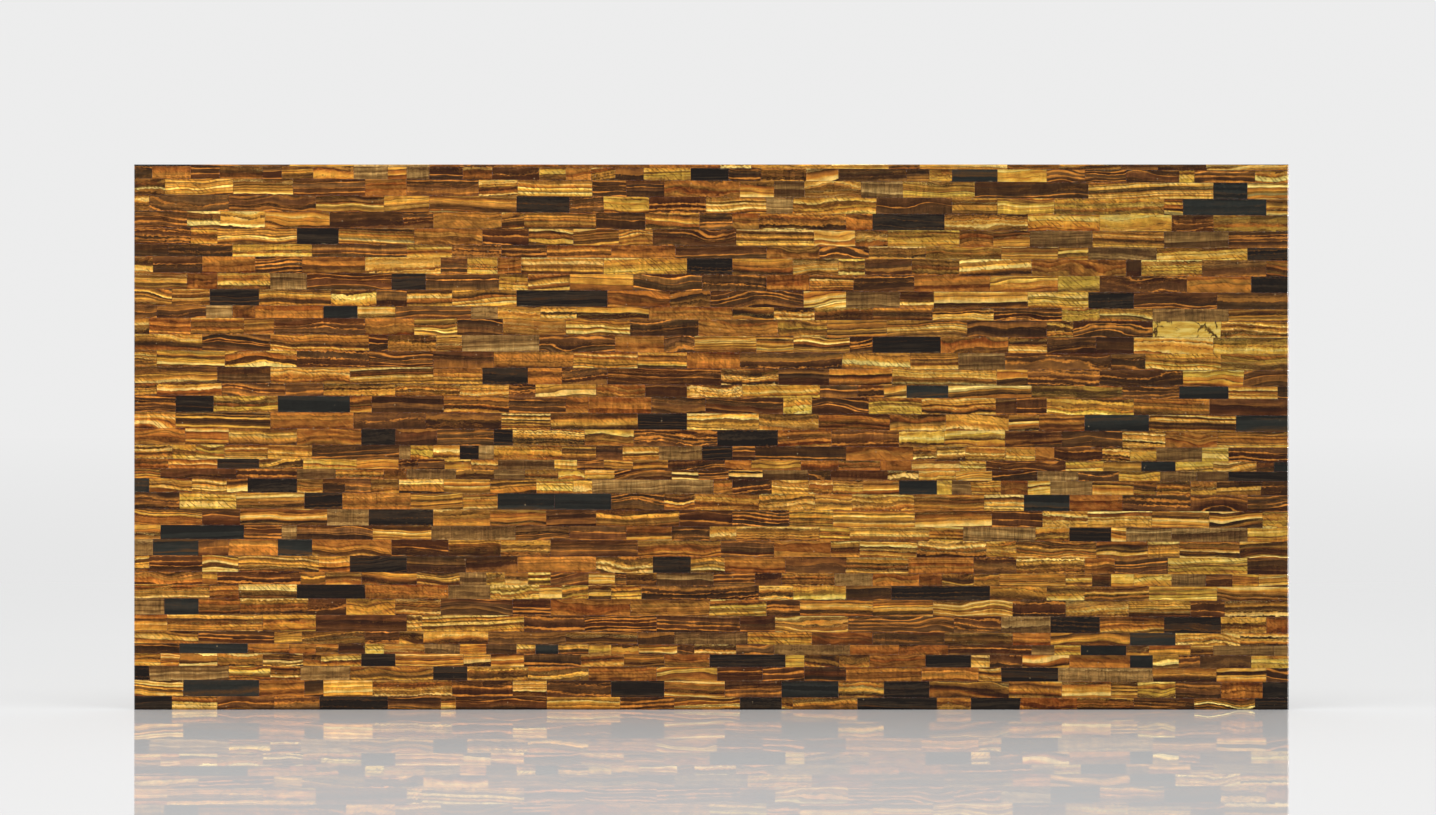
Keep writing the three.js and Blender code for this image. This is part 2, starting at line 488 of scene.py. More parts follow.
# %% Build the group for a block's place
SOCKET_TYPES = {1: "NodeSocketFloat", 3: "NodeSocketVector", 4: "NodeSocketColor"}


def effect(name, inputs, outputs):
    """A new shader node group with its sockets, and what is needed to wire it."""
    tree = bpy.data.node_groups.new(name, "ShaderNodeTree")
    for kind, sockets in (("INPUT", inputs), ("OUTPUT", outputs)):
        for socket, value in sockets.items():
            size = len(value) if isinstance(value, tuple) else 1
            made = tree.interface.new_socket(socket, in_out=kind, socket_type=SOCKET_TYPES[size])
            made.default_value = value
    wiring = Wiring(tree)
    return tree, wiring, wiring.add("NodeGroupInput").outputs, wiring.add("NodeGroupOutput").inputs


WHITE = (1, 1, 1, 1)
block_place, wiring, given, result = effect(
    "Block place", {},
    {"Place": (0, 0, 0), "Tone": 0.5, "Wild": 0.5, "Coarse": 0.5, "Crumple": 0.5, "Silky": 0.5,
     "Bed": 0.5, "Rightward": 0.5, "Upward": 0.5})
metres = wiring.add("ShaderNodeTexCoord").outputs["Object"]
seed, tone, bed = (
    wiring.add("ShaderNodeAttribute", {"attribute_name": name}).outputs["Fac"]
    for name in ("seed", "tone", "bed")
)
SEED_STEP = (173.0, 0.0, 97.0)
LAST_SEED = 400.0
STEEPEST = 0.05
spot = wiring.scaled(metres, 1 / MM)
jump = wiring.scaled(SEED_STEP, seed)
dice = [
    wiring.add("ShaderNodeTexWhiteNoise", {"noise_dimensions": "1D"}, {"W": thrown}).outputs["Color"]
    for thrown in (seed, wiring.number("ADD", seed, LAST_SEED))
]
chances, more_chances = wiring.channels(dice[0]), wiring.channels(dice[1])
slope = wiring.number("MULTIPLY_ADD", chances["Blue"], 2 * STEEPEST, -STEEPEST)
tilted = wiring.add("ShaderNodeCombineXYZ")
wiring.put(tilted.inputs["Z"], wiring.times(wiring.axes(spot)["X"], slope))
where = wiring.axes(metres)
for name, value in {
    "Place": wiring.vector("ADD", spot, wiring.vector("ADD", jump, tilted.outputs["Vector"])),
    "Tone": tone, "Wild": chances["Red"], "Coarse": chances["Green"],
    "Crumple": more_chances["Green"], "Silky": more_chances["Blue"], "Bed": bed,
    "Rightward": wiring.fade(where["X"], cad_low.x, cad_high.x),
    "Upward": wiring.fade(where["Z"], cad_low.z, cad_high.z),
}.items():
    wiring.put(result[name], value)
print("group", block_place.name, "gives", [item.name for item in block_place.interface.items_tree])

# %% [markdown]
# ## Layers
#
# Tiger's eye grew as layer on layer of fibres. A layer keeps one tone, is a few millimetres thick, and
# runs gently up and down. Voronoi cells along one dimension make just that: strips of uneven thickness
# with a random tone each. Their one coordinate is the height, bent by three sizes of noise. The group
# also gives the distance to the nearest layer's edge, in millimetres, the side of the layer, and the
# tone of a second, thinner set of layers, which shows in about half of the thick ones.

# %% Build the layers group
layers, wiring, given, result = effect(
    "Layers",
    {"Place": (0, 0, 0), "Thickness": 6.0, "Swing": 3.0, "Swing length": 80.0, "Crumple": 0.2},
    {"Tone": 0.5, "Second tone": 0.5, "Third tone": 0.5, "Side": 0.0, "Edge": 1.0, "Thin tone": 0.5,
     "Height": 0.0},
)
FLATTEN = (1.0, 1.0, 2.2)
SWING_GAIN = 4.0
RIPPLE = 4.4
RIPPLE_PITCH = 0.045
CRUMPLE = 13.0
CRUMPLE_PITCH = 0.15
THIN_LAYER = 3.4
stretched = wiring.vector("MULTIPLY", given["Place"], FLATTEN)
slow = wiring.scaled(stretched, wiring.number("DIVIDE", 1.0, given["Swing length"]))
big, small, tiny = (
    wiring.minus(wiring.noise(*settings), 0.5)
    for settings in ((slow, 1.0, 1.5, 0.4), (stretched, RIPPLE_PITCH), (stretched, CRUMPLE_PITCH))
)
crumple = wiring.times(tiny, given["Crumple"])
swing = wiring.number("MULTIPLY_ADD", crumple, CRUMPLE, wiring.times(small, RIPPLE))
swing = wiring.number("MULTIPLY_ADD", wiring.times(big, given["Swing"]), SWING_GAIN, swing)
height = wiring.number("ADD", wiring.axes(given["Place"])["Z"], swing)


def strips(along, feature="F1"):
    """The outputs of a Voronoi pattern along one dimension."""
    settings = {"voronoi_dimensions": "1D", "feature": feature}
    return wiring.add("ShaderNodeTexVoronoi", settings, {"W": along, "Scale": 1.0}).outputs


count = wiring.number("DIVIDE", height, given["Thickness"])
cells = strips(count)
shades = wiring.channels(cells["Color"])
thin_shades = wiring.channels(strips(wiring.number("DIVIDE", height, THIN_LAYER))["Color"])
banded = wiring.fade(shades["Green"], 0.50, 0.52)
lone = wiring.times(wiring.minus(thin_shades["Red"], 0.5), banded)
for name, value in {
    "Tone": shades["Red"], "Second tone": shades["Green"], "Third tone": shades["Blue"],
    "Side": wiring.minus(count, cells["W"]),
    "Edge": wiring.times(strips(count, "DISTANCE_TO_EDGE")["Distance"], given["Thickness"]),
    "Thin tone": wiring.number("ADD", lone, 0.5), "Height": height,
}.items():
    wiring.put(result[name], value)
print("group", layers.name, "is built")

# %% [markdown]
# ## Streaks and fibres
#
# Two finer effects run inside the layers. Streaks are long thin flames of light and dark that lie along
# the layers. Fibres stand across them, finer than a millimetre and gathered in wider sheaves, and make
# the silk. Both are noise drawn out in one direction. The streaks follow the layers' own bent height, so
# they run with them.

# %% Build the streaks and the fibres
streaks, wiring, given, result = effect(
    "Streaks", {"Place": (0, 0, 0), "Height": 0.0, "Length": 60.0, "Fineness": 2.0, "Detail": 3.0},
    {"Value": 0.5})
split = wiring.axes(given["Place"])
flame = wiring.add("ShaderNodeCombineXYZ", sockets={
    "X": wiring.number("DIVIDE", split["X"], given["Length"]),
    "Y": wiring.number("DIVIDE", split["Y"], given["Length"]),
    "Z": wiring.number("DIVIDE", given["Height"], given["Fineness"])})
noise = wiring.noise(flame.outputs["Vector"], detail=given["Detail"], roughness=0.55)
wiring.put(result["Value"], wiring.fade(noise, 0.28, 0.72))

fibres, wiring, given, result = effect("Fibres", {"Place": (0, 0, 0), "Depth": 0.2}, {"Value": 1.0})
FIBRE_PITCH = (1.6, 1.6, 0.07)
SHEAF_PITCH = (0.16, 0.16, 0.03)
fine, sheaf = (
    wiring.noise(wiring.vector("MULTIPLY", given["Place"], pitch)) for pitch in (FIBRE_PITCH, SHEAF_PITCH)
)
both = wiring.number("ADD", fine, sheaf)
swing = wiring.times(wiring.minus(both, 1.0), given["Depth"])
wiring.put(result["Value"], wiring.number("MULTIPLY_ADD", swing, 2.0, 1.0))
print("groups", streaks.name, "and", fibres.name, "are built")

# %% [markdown]
# ## Cracks and slashes
#
# A few bright blocks are broken by wide dark cracks that branch. The borders between the cells of a bent
# two-dimensional Voronoi pattern branch in the same way. Slashes are finer and far more common: healed
# cracks that all cross the layers at one slant, here and there in a block. They come from a Voronoi
# pattern along one slanted line, and a soft noise says where they show.

# %% Build the cracks
cracks, wiring, given, result = effect(
    "Cracks", {"Place": (0, 0, 0), "Spacing": 18.0, "Width": 1.0}, {"Mask": 0.0})
CRACK_WARP = 46.0
CRACK_SHAPE = (0.8, 0.3, 1.0)
warp = wiring.add("ShaderNodeTexNoise", sockets={"Vector": given["Place"], "Scale": 0.045, "Detail": 4.0})
shove = wiring.scaled(wiring.vector("SUBTRACT", warp.outputs["Color"], (0.5, 0.5, 0.5)), CRACK_WARP)
squeezed = wiring.vector("MULTIPLY", wiring.vector("ADD", given["Place"], shove), CRACK_SHAPE)
spread = wiring.scaled(squeezed, wiring.number("DIVIDE", 1.0, given["Spacing"]))
cells = wiring.add("ShaderNodeTexVoronoi", {"feature": "DISTANCE_TO_EDGE"}, {
    "Vector": spread, "Scale": 1.0})
gap = wiring.times(cells.outputs["Distance"], given["Spacing"])
crack = wiring.fade(gap, wiring.times(given["Width"], 0.5), given["Width"], 1.0, 0.0)
regions = wiring.noise(given["Place"], scale=0.03, detail=0.0)
wiring.put(result["Mask"], wiring.times(crack, wiring.fade(regions, 0.42, 0.50)))
print("group", cracks.name, "is built")

# %% Build the slashes
slashes, wiring, given, result = effect(
    "Slashes", {"Place": (0, 0, 0), "Spacing": 17.0, "Width": 0.9}, {"Mask": 0.0})
SLASH_SLANT = 1.1
SLASH_WOBBLE = 9.0
SLASH_PATCHES = (0.035, 0.035, 0.09)
split = wiring.axes(given["Place"])
line = wiring.number("MULTIPLY_ADD", split["Z"], SLASH_SLANT, split["X"])
line = wiring.number("MULTIPLY_ADD", wiring.noise(given["Place"], scale=0.07), SLASH_WOBBLE, line)
lines = wiring.add("ShaderNodeTexVoronoi", {"voronoi_dimensions": "1D", "feature": "DISTANCE_TO_EDGE"})
wiring.put(lines.inputs["W"], wiring.number("DIVIDE", line, given["Spacing"]))
lines.inputs["Scale"].default_value = 1.0
gap = wiring.times(lines.outputs["Distance"], given["Spacing"])
slash = wiring.fade(gap, wiring.times(given["Width"], 0.4), given["Width"], 1.0, 0.0)
patches = wiring.noise(wiring.vector("MULTIPLY", given["Place"], SLASH_PATCHES), detail=1.0)
wiring.put(result["Mask"], wiring.times(slash, wiring.fade(patches, 0.44, 0.54)))
print("group", slashes.name, "is built")

# %% [markdown]
# ## Filler
#
# Where a block is chipped along its bed, filler closes the gap. These spots show as pale thin smears
# beside a bed. The group looks for them near the beds only, where a drawn-out noise is high, and gives
# a mask. A few pits, two or three millimetres wide, are as pale as the filler. They are round spots about
# some of the points of a Voronoi pattern.

# %% Build the filler
filled, wiring, given, result = effect("Filler", {"Place": (0, 0, 0), "Bed": 0.5}, {"Mask": 0.0})
SMEAR_PITCH = (0.045, 0.045, 0.5)
smear = wiring.noise(wiring.vector("MULTIPLY", given["Place"], SMEAR_PITCH), detail=4.0, roughness=0.6)
off_middle = wiring.number("ABSOLUTE", wiring.minus(given["Bed"], 0.5))
near_bed = wiring.fade(off_middle, 0.38, 0.47)
smeared = wiring.times(near_bed, wiring.fade(smear, 0.61, 0.71, 0.0, 0.6))
PIT_SPACING = 42.0
PIT_SHARE = 0.10
split = wiring.axes(given["Place"])
face = wiring.add("ShaderNodeCombineXYZ", sockets={"X": split["X"], "Y": split["Z"]})
pits = wiring.add("ShaderNodeTexVoronoi", {"voronoi_dimensions": "2D"}, {
    "Vector": face.outputs["Vector"], "Scale": 1 / PIT_SPACING})
radius = wiring.times(pits.outputs["Distance"], PIT_SPACING)
chosen = wiring.fade(wiring.channels(pits.outputs["Color"])["Red"], PIT_SHARE, PIT_SHARE + 0.01, 1.0, 0.0)
pit = wiring.times(wiring.fade(radius, 0.8, 1.8, 1.0, 0.0), chosen)
wiring.put(result["Mask"], wiring.number("MAXIMUM", smeared, pit))
print("group", filled.name, "is built")

# %% [markdown]
# ## Warmth, painted shade and finish
#
# The stone is redder towards the lower left of the slab, and yellower towards the upper right. The
# warmth and shade group tints any colour by its place. The same tint is painted shade too: it makes the
# right end darker and the left end a little lighter, to even out how the lamps light the two ends. The
# group also paints a thin line of shade along the foot. The finish group gives the roughness: a mirror
# polish on the face and on its eased edges, with the faint unevenness of the wheel, and a sawn, matt
# surface on the back and in the joints.

# %% Build the warmth and the finish
warmth_and_shade, wiring, given, result = effect("Warmth and shade", {"Colour": WHITE}, {"Colour": WHITE})
here = wiring.group(block_place)
# The two tints paint shade as well as hue: the right end comes out darker and the left end a little
# lighter, to even out how the lamps light the two ends.
LEFT_TINT_AND_LIGHT = (1.05, 1.09, 1.13, 1)
RIGHT_TINT_AND_SHADE = (0.77, 0.86, 0.92, 1)
FOOT_SHADE_LINE = 8 * MM
slide = wiring.number("MULTIPLY_ADD", here["Rightward"], 0.75, wiring.times(here["Upward"], 0.25))
tinted_and_shaded = wiring.vector("MULTIPLY", given["Colour"], wiring.blend(slide, LEFT_TINT_AND_LIGHT, RIGHT_TINT_AND_SHADE))
height = wiring.axes(wiring.add("ShaderNodeTexCoord").outputs["Object"])["Z"]
# Painted shade along the foot: the colour is darkened to 0.4 of itself in the lowest few millimetres of the
# slab.
foot = wiring.fade(height, FOOT_SHADE_LINE / 2, FOOT_SHADE_LINE, 0.4, 1.0)
wiring.put(result["Colour"], wiring.scaled(tinted_and_shaded, foot))

finish, wiring, given, result = effect("Finish", {"Polish": 0.12}, {"Roughness": 0.12})
metres = wiring.add("ShaderNodeTexCoord").outputs["Object"]
SAWN_ROUGHNESS = 0.55
EDGE_BEHIND = 5.5 * MM
behind = wiring.fade(wiring.axes(metres)["Y"], cad_low.y + EDGE_BEHIND, cad_low.y + EDGE_BEHIND + MM)
wheel = wiring.noise(metres, scale=9.0, detail=3.0)
uneven = wiring.number("MULTIPLY_ADD", wheel, 0.06, given["Polish"])
rest = wiring.times(wiring.minus(SAWN_ROUGHNESS, uneven), behind)
wiring.put(result["Roughness"], wiring.number("ADD", uneven, rest))
print("groups", warmth_and_shade.name, "and", finish.name, "are built")

# %% [markdown]
# ## One recipe for a polished stone
#
# The kinds share their build: a colour that comes from the effects above, the filler, the warmth and the
# painted shade of the place, and a clear dielectric surface. Only the colour part differs, so each kind is
# a short function that wires its colour, and one function makes the material round it. The gloss is kept
# well under that of glass, or the pale room would lay a veil over the dark stone. A pair such as COARSENESS
# holds the least and the most of a thing, and each block gets its own amount between the two.

# %% Write the recipe
GLOSS = 0.10
STONE_IOR = 1.54
PAINTED_SHEEN_PITCH = (0.030, 0.030, 0.05)
PAINTED_SHEEN = (0.78, 1.24)
THIN_LAYER_SHADE = 0.66
THIN_LAYER_GLOW = 1.6
SEAM_REACH = (0.2, 1.3)
COARSENESS = (0.65, 1.6)
WILDNESS = (0.45, 2.4)
CRUMPLING = (0.08, 1.0)
UNTURNED = (1, 1, 1, 1)
REDDER = (1.20, 0.81, 0.66, 1)
YELLOWER = (0.89, 1.10, 1.06, 1)


def paint(red, green, blue):
    """A colour given as a screen shows it, from 0 to 255, and made linear as a shader needs it."""
    return tuple(((value / 255 + 0.055) / 1.055) ** 2.4 for value in (red, green, blue)) + (1,)


FILLER = paint(184, 152, 108)


def stone_material(name, wire_colour, polish=0.10):
    """A polished stone whose colour is what wire_colour returns."""
    material = bpy.data.materials.new(name)
    material.use_nodes = True
    wiring = Wiring(material.node_tree)
    surface = material.node_tree.nodes["Principled BSDF"]
    block = wiring.group(block_place)
    filler = wiring.group(filled, {"Place": block["Place"], "Bed": block["Bed"]})
    colour = wiring.blend(filler["Mask"], wire_colour(wiring, block), FILLER)
    wiring.put(surface.inputs["Base Color"], wiring.group(warmth_and_shade, {"Colour": colour})["Colour"])
    wiring.put(surface.inputs["Roughness"], wiring.group(finish, {"Polish": polish})["Roughness"])
    surface.inputs["Specular IOR Level"].default_value = GLOSS
    surface.inputs["IOR"].default_value = STONE_IOR
    return material


def within(wiring, tree, block, values):
    """The outputs of a shared effect, placed in a material and fed with the block's place."""
    return wiring.group(tree, {"Place": block["Place"], **values})


def flames(wiring, block, layer, length, fineness, detail=3.0):
    """Streaks of light and dark along a layer, as one value."""
    return within(wiring, streaks, block, {
        "Height": layer["Height"], "Length": length, "Fineness": fineness, "Detail": detail})["Value"]


def layered(wiring, block, thickness, swing, swing_length):
    """Layers whose thickness and swing suit how coarse and how wild the block is."""
    return within(wiring, layers, block, {
        "Thickness": wiring.times(wiring.fade(block["Coarse"], 0, 1, *COARSENESS), thickness),
        "Swing": wiring.times(wiring.fade(block["Wild"], 0.2, 1, *WILDNESS), swing),
        "Swing length": swing_length,
        "Crumple": wiring.fade(block["Crumple"], 0.4, 1.0, *CRUMPLING),
    })


def weigh(wiring, parts):
    """The sum of values times their weights."""
    total = 0.0
    for value, weight in parts:
        total = wiring.number("MULTIPLY_ADD", value, weight, total)
    return total


def leaning(wiring, layer):
    """How much brighter a layer is towards one of its sides, which one being its own chance."""
    tilt = wiring.number("MULTIPLY_ADD", layer["Third tone"], 2.0, -1.0)
    return wiring.times(layer["Side"], tilt)


def hued(wiring, colour, layer, tone):
    """The colour turned to red or to yellow by the layer's chance, a dark one more than a bright one."""
    turn = wiring.blend(layer["Second tone"], REDDER, YELLOWER)
    strength = wiring.fade(tone, 0.35, 0.85, 1.0, 0.3)
    return wiring.vector("MULTIPLY", colour, wiring.blend(strength, UNTURNED, turn))


def slashed(wiring, colour, block, spacing, width, strength, dark):
    """The colour crossed by healed cracks, as slanted lines in a dark colour."""
    cut = within(wiring, slashes, block, {"Spacing": spacing, "Width": width})
    return wiring.blend(wiring.times(cut["Mask"], strength), colour, dark)


def grained(wiring, colour, block, layer, seam, dark, bright, silk=0.40):
    """The colour with its fine detail: dark seams, thin layers, a soft painted sheen and silk."""
    edge = wiring.fade(layer["Edge"], *SEAM_REACH, seam, 0.0)
    some = wiring.fade(layer["Third tone"], 0.42, 0.46)
    thin_dark = wiring.fade(layer["Thin tone"], dark - 0.02, dark + 0.02, THIN_LAYER_SHADE, 0.0)
    mask = wiring.number("MAXIMUM", wiring.times(edge, some), thin_dark)
    colour = wiring.blend(mask, colour, DARK_BROWN)
    glow = wiring.fade(layer["Thin tone"], bright - 0.02, bright + 0.02, 1.0, THIN_LAYER_GLOW)
    colour = wiring.scaled(colour, glow)
    # A painted sheen: slow patches where the stone's colour is made brighter or darker, standing in for the
    # shine of its fibres.
    painted_sheen = wiring.noise(wiring.vector("MULTIPLY", block["Place"], PAINTED_SHEEN_PITCH))
    colour = wiring.scaled(colour, wiring.fade(painted_sheen, 0.3, 0.7, *PAINTED_SHEEN))
    depth = wiring.fade(block["Silky"], 0.0, 1.0, silk * 0.5, silk * 1.8)
    return wiring.scaled(colour, within(wiring, fibres, block, {"Depth": depth})["Value"])


print("recipe ready")

# %% [markdown]
# ## Gold stone
#
# Most blocks are this stone. Dark layers part it into bands, and between them the gold runs from brown
# to bright in long flames. Many layers grow brighter towards one side, because their fibres lean, so
# one edge is sharp and the other soft. The random tone of the block makes it lighter or darker as a
# whole. Here and there a fine dark seam parts two layers. Healed cracks slash the silkier half of the
# gold blocks.

# %% Gold
NEAR_BLACK = paint(48, 28, 14)
DARK_BROWN = paint(72, 42, 18)
BROWN = paint(112, 68, 27)
TAN = paint(160, 102, 40)
ORANGE_GOLD = paint(203, 132, 45)
BRIGHT_GOLD = paint(229, 164, 61)
PALE_GOLD = paint(248, 205, 112)


def gold_colour(wiring, block):
    layer = layered(wiring, block, thickness=8.4, swing=6.0, swing_length=140.0)
    flame = flames(wiring, block, layer, length=40.0, fineness=6.0, detail=2.5)
    tone = weigh(wiring, [
        (layer["Tone"], 0.80), (leaning(wiring, layer), 0.74), (flame, 0.16), (block["Tone"], 0.08),
    ])
    colour = wiring.ramp(tone, [
        (0.13, NEAR_BLACK), (0.23, DARK_BROWN), (0.36, BROWN), (0.52, TAN),
        (0.68, ORANGE_GOLD), (0.84, BRIGHT_GOLD), (1.0, PALE_GOLD),
    ])
    colour = hued(wiring, colour, layer, tone)
    some = wiring.fade(block["Silky"], 0.45, 0.55, 0.0, 0.7)
    colour = slashed(wiring, colour, block, spacing=15.0, width=2.0, strength=some, dark=DARK_BROWN)
    return grained(wiring, colour, block, layer, seam=0.9, dark=0.18, bright=0.84)


gold = stone_material("gold tiger's eye", gold_colour)
print("made", gold.name)

# %% [markdown]
# ## Umber stone
#
# The dark blocks are brown to nearly black, in thicker layers that swing more. What makes them tiger's
# eye is a thin line of orange gold between two dark layers, sometimes two. The line is drawn where the
# distance to a layer's edge is small, and only at some of the edges, so a block has one, two or none.

# %% Umber
LINE_GOLD = paint(216, 131, 48)
DEEP_BROWN = paint(56, 33, 18)
SATIN_BROWN = paint(98, 62, 32)


def umber_colour(wiring, block):
    layer = layered(wiring, block, thickness=15.0, swing=9.0, swing_length=170.0)
    flame = flames(wiring, block, layer, length=60.0, fineness=8.0, detail=2.0)
    tone = weigh(wiring, [
        (layer["Tone"], 0.56), (leaning(wiring, layer), 0.60), (flame, 0.18), (block["Tone"], 0.14),
    ])
    colour = wiring.ramp(tone, [
        (0.10, NEAR_BLACK), (0.26, DEEP_BROWN), (0.42, DARK_BROWN), (0.62, SATIN_BROWN), (0.86, TAN),
    ])
    colour = hued(wiring, colour, layer, tone)
    glow = wiring.fade(flame, 0.0, 0.7, 0.45, 1.0)
    reach = wiring.fade(flame, 0.2, 0.9, 1.6, 4.2)
    line = wiring.fade(layer["Edge"], wiring.times(reach, 0.5), reach, 1.0, 0.0)
    some = wiring.fade(layer["Third tone"], 0.56, 0.60)
    mask = wiring.times(wiring.times(line, some), glow)
    colour = wiring.blend(mask, colour, LINE_GOLD)
    return grained(wiring, colour, block, layer, seam=0.0, dark=0.22, bright=0.90)


umber = stone_material("umber tiger's eye", umber_colour)
print("made", umber.name)

# %% [markdown]
# ## Rust stone
#
# In the red kind the iron has gone to rust. It is satin and orange brown, with soft layers, and healed
# cracks filled with a darker rust cross it at a slant.

# %% Rust
RUST_DARK = paint(84, 43, 17)
RUST = paint(134, 78, 28)
RUST_BRIGHT = paint(212, 130, 46)


def rust_colour(wiring, block):
    layer = layered(wiring, block, thickness=10.0, swing=7.0, swing_length=110.0)
    flame = flames(wiring, block, layer, length=30.0, fineness=8.0)
    tone = weigh(wiring, [(layer["Tone"], 0.62), (leaning(wiring, layer), 0.6), (flame, 0.36)])
    colour = wiring.ramp(tone, [(0.16, RUST_DARK), (0.38, RUST), (0.60, TAN), (0.90, RUST_BRIGHT)])
    colour = hued(wiring, colour, layer, tone)
    colour = slashed(wiring, colour, block, spacing=16.0, width=1.8, strength=0.65, dark=RUST_DARK)
    return grained(wiring, colour, block, layer, seam=0.5, dark=0.14, bright=0.90, silk=0.46)


rust = stone_material("rust tiger's eye", rust_colour)
print("made", rust.name)

# %% [markdown]
# ## Olive stone
#
# The pale satin kind was cut across its fibres, so it shows little gold. It is greyish olive to tan,
# with soft layers and faint upright lines where the sheaves of fibres meet.

# %% Olive
OLIVE_DARK = paint(92, 60, 29)
OLIVE = paint(146, 104, 52)
OLIVE_PALE = paint(204, 158, 90)
SHEAF_LINES = (0.30, 0.30, 0.01)


def olive_colour(wiring, block):
    layer = layered(wiring, block, thickness=12.0, swing=2.6, swing_length=110.0)
    flame = flames(wiring, block, layer, length=45.0, fineness=6.0, detail=2.0)
    tone = weigh(wiring, [
        (layer["Tone"], 0.44), (leaning(wiring, layer), 0.5), (flame, 0.24), (block["Tone"], 0.26),
    ])
    colour = wiring.ramp(tone, [
        (0.08, DARK_BROWN), (0.28, OLIVE_DARK), (0.58, OLIVE), (0.92, OLIVE_PALE),
    ])
    upright = wiring.noise(wiring.vector("MULTIPLY", block["Place"], SHEAF_LINES), detail=1.0)
    colour = wiring.scaled(colour, wiring.fade(upright, 0.35, 0.62, 0.84, 1.14))
    return grained(wiring, colour, block, layer, seam=0.6, dark=0.14, bright=0.92, silk=0.46)


olive = stone_material("olive tiger's eye", olive_colour)
print("made", olive.name)

# %% [markdown]
# ## Straw stone
#
# The brightest blocks are nearly all gold and straw yellow, crossed by one or two brown layers. More
# than half of them are slashed, and the block's random tone decides which. A few have no layers to
# speak of, only wide dark cracks that branch.

# %% Straw
STRAW_DEEP = paint(190, 133, 46)
STRAW = paint(226, 170, 60)
STRAW_PALE = paint(248, 210, 112)


def straw_colour(wiring, block):
    layer = layered(wiring, block, thickness=9.5, swing=4.5, swing_length=120.0)
    flame = flames(wiring, block, layer, length=40.0, fineness=6.0, detail=2.5)
    tone = weigh(wiring, [(layer["Tone"], 0.70), (leaning(wiring, layer), 0.55), (flame, 0.28)])
    colour = wiring.ramp(tone, [
        (0.12, DARK_BROWN), (0.22, BROWN), (0.34, TAN), (0.46, STRAW_DEEP),
        (0.70, STRAW), (0.98, STRAW_PALE),
    ])
    colour = hued(wiring, colour, layer, tone)
    some = wiring.fade(block["Tone"], 0.25, 0.35, 0.0, 0.85)
    colour = slashed(wiring, colour, block, spacing=15.0, width=2.0, strength=some, dark=DARK_BROWN)
    return grained(wiring, colour, block, layer, seam=0.9, dark=0.16, bright=0.88)


def cracked_colour(wiring, block):
    layer = layered(wiring, block, thickness=14.0, swing=3.0, swing_length=70.0)
    flame = flames(wiring, block, layer, length=40.0, fineness=7.0, detail=2.0)
    tone = weigh(wiring, [(layer["Tone"], 0.3), (flame, 0.6)])
    colour = wiring.ramp(tone, [(0.05, STRAW_DEEP), (0.35, STRAW), (0.85, STRAW_PALE)])
    broken = within(wiring, cracks, block, {"Spacing": 34.0, "Width": 2.2})
    return wiring.blend(broken["Mask"], colour, DARK_BROWN)


straw = stone_material("straw tiger's eye", straw_colour)
cracked = stone_material("cracked tiger's eye", cracked_colour)
print("made", straw.name, "and", cracked.name)

# %% [markdown]
# ## Iron stone and hawk stone
#
# Iron blocks are almost black, with a breath of brown and now and then a thin line near a bed. Hawk
# blocks keep the blue of the fibres before they rusted, and show grey upright marks. A dark stone needs
# some pattern too, or it reads as a hole, so both have faint layers and fibres.

# %% Iron and hawk
IRON = paint(28, 21, 16)
IRON_SHEEN = paint(60, 46, 32)
HAWK = paint(30, 28, 24)
HAWK_SHEEN = paint(49, 48, 41)


def iron_colour(wiring, block):
    layer = layered(wiring, block, thickness=13.0, swing=2.2, swing_length=100.0)
    flame = flames(wiring, block, layer, length=80.0, fineness=4.0)
    tone = weigh(wiring, [(layer["Tone"], 0.5), (leaning(wiring, layer), 0.3), (flame, 0.35)])
    colour = wiring.ramp(tone, [(0.38, IRON), (0.66, IRON_SHEEN), (0.80, DARK_BROWN), (0.98, BROWN)])
    line = wiring.fade(layer["Edge"], 0.3, 1.3, 1.0, 0.0)
    some = wiring.fade(layer["Second tone"], 0.70, 0.76)
    colour = wiring.blend(wiring.times(line, some), colour, BROWN)
    silk = within(wiring, fibres, block, {"Depth": 0.2})
    return wiring.scaled(colour, silk["Value"])


def hawk_colour(wiring, block):
    layer = layered(wiring, block, thickness=14.0, swing=1.6, swing_length=100.0)
    flame = flames(wiring, block, layer, length=60.0, fineness=5.0)
    tone = weigh(wiring, [(layer["Tone"], 0.60), (leaning(wiring, layer), 0.4), (flame, 0.16)])
    colour = wiring.ramp(tone, [(0.22, HAWK), (0.56, HAWK_SHEEN), (0.78, OLIVE_DARK)])
    silk = within(wiring, fibres, block, {"Depth": 0.15})
    return wiring.scaled(colour, silk["Value"])


iron = stone_material("iron tiger's eye", iron_colour, polish=0.08)
hawk = stone_material("hawk's eye", hawk_colour, polish=0.08)
stones = [gold, umber, rust, olive, straw, cracked, iron, hawk]
print("made", iron.name, "and", hawk.name)

# %% [markdown]
# ## Making the blocks of a course
#
# A point stands at the left end of each block, and stores what the tree and the materials need: the
# block's length, its kind, its seed, its tone and how its two ends lean. Neighbours share the lean of
# the joint between them, so the joint stays even. Once the tree has run, the result becomes a plain
# mesh and the modifier goes with the points.

# %% Write the course maker
SLAB_DEPTH = cad_high.y - cad_low.y
HEAD_JOINT = 0.6 * MM
USUAL_LEAN = 0.5 * MM
STRONG_LEAN = 4 * MM
STRONG_SHARE = 0.08


